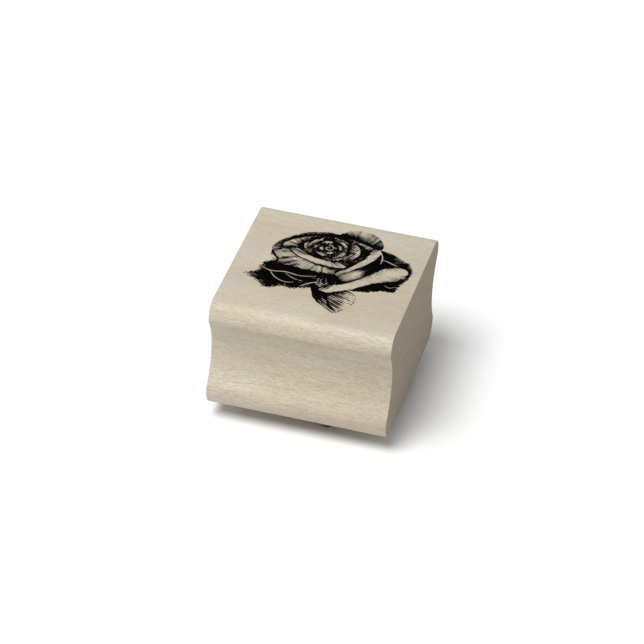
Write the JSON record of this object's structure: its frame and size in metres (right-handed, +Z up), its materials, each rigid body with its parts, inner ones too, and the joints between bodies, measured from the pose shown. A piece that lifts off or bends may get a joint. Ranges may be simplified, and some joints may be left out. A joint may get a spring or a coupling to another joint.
{
  "type": "wood-mounted rubber stamp",
  "caption": "Hand stamp: a hardwood block with finger coves and an inked index picture on top, over a foam cushion and a raised rubber die.",
  "frame": {"origin": "centre of the printing face's plane, under the middle of the block", "axes": "+Z up from the paper to the index picture, +X along the grain of the block to the right of the picture, +Y to the back, towards the top of the picture"},
  "size_m": [0.0382, 0.04, 0.0291],
  "materials": {
    "maple": "bare sanded hardwood",
    "black_ink": "matt printing ink",
    "adhesive_film": "clear yellowish film",
    "foam": "closed-cell foam",
    "die_rubber": "satin moulded rubber"
  },
  "bodies": {
    "mount": {"wood_mount": "maple", "index_print": "black_ink", "mount_tape": "adhesive_film", "cushion": "foam"},
    "die": {"die_tape": "adhesive_film", "rubber_die": "die_rubber"}
  },
  "joints": [
    {"name": "cushion_squeeze", "type": "slide", "parent": "mount", "child": "die", "axis": [0, 0, 1], "range_m": [0, 0.0007], "stiffness_N_per_m": 40000, "deforming": ["cushion"]}
  ]
}
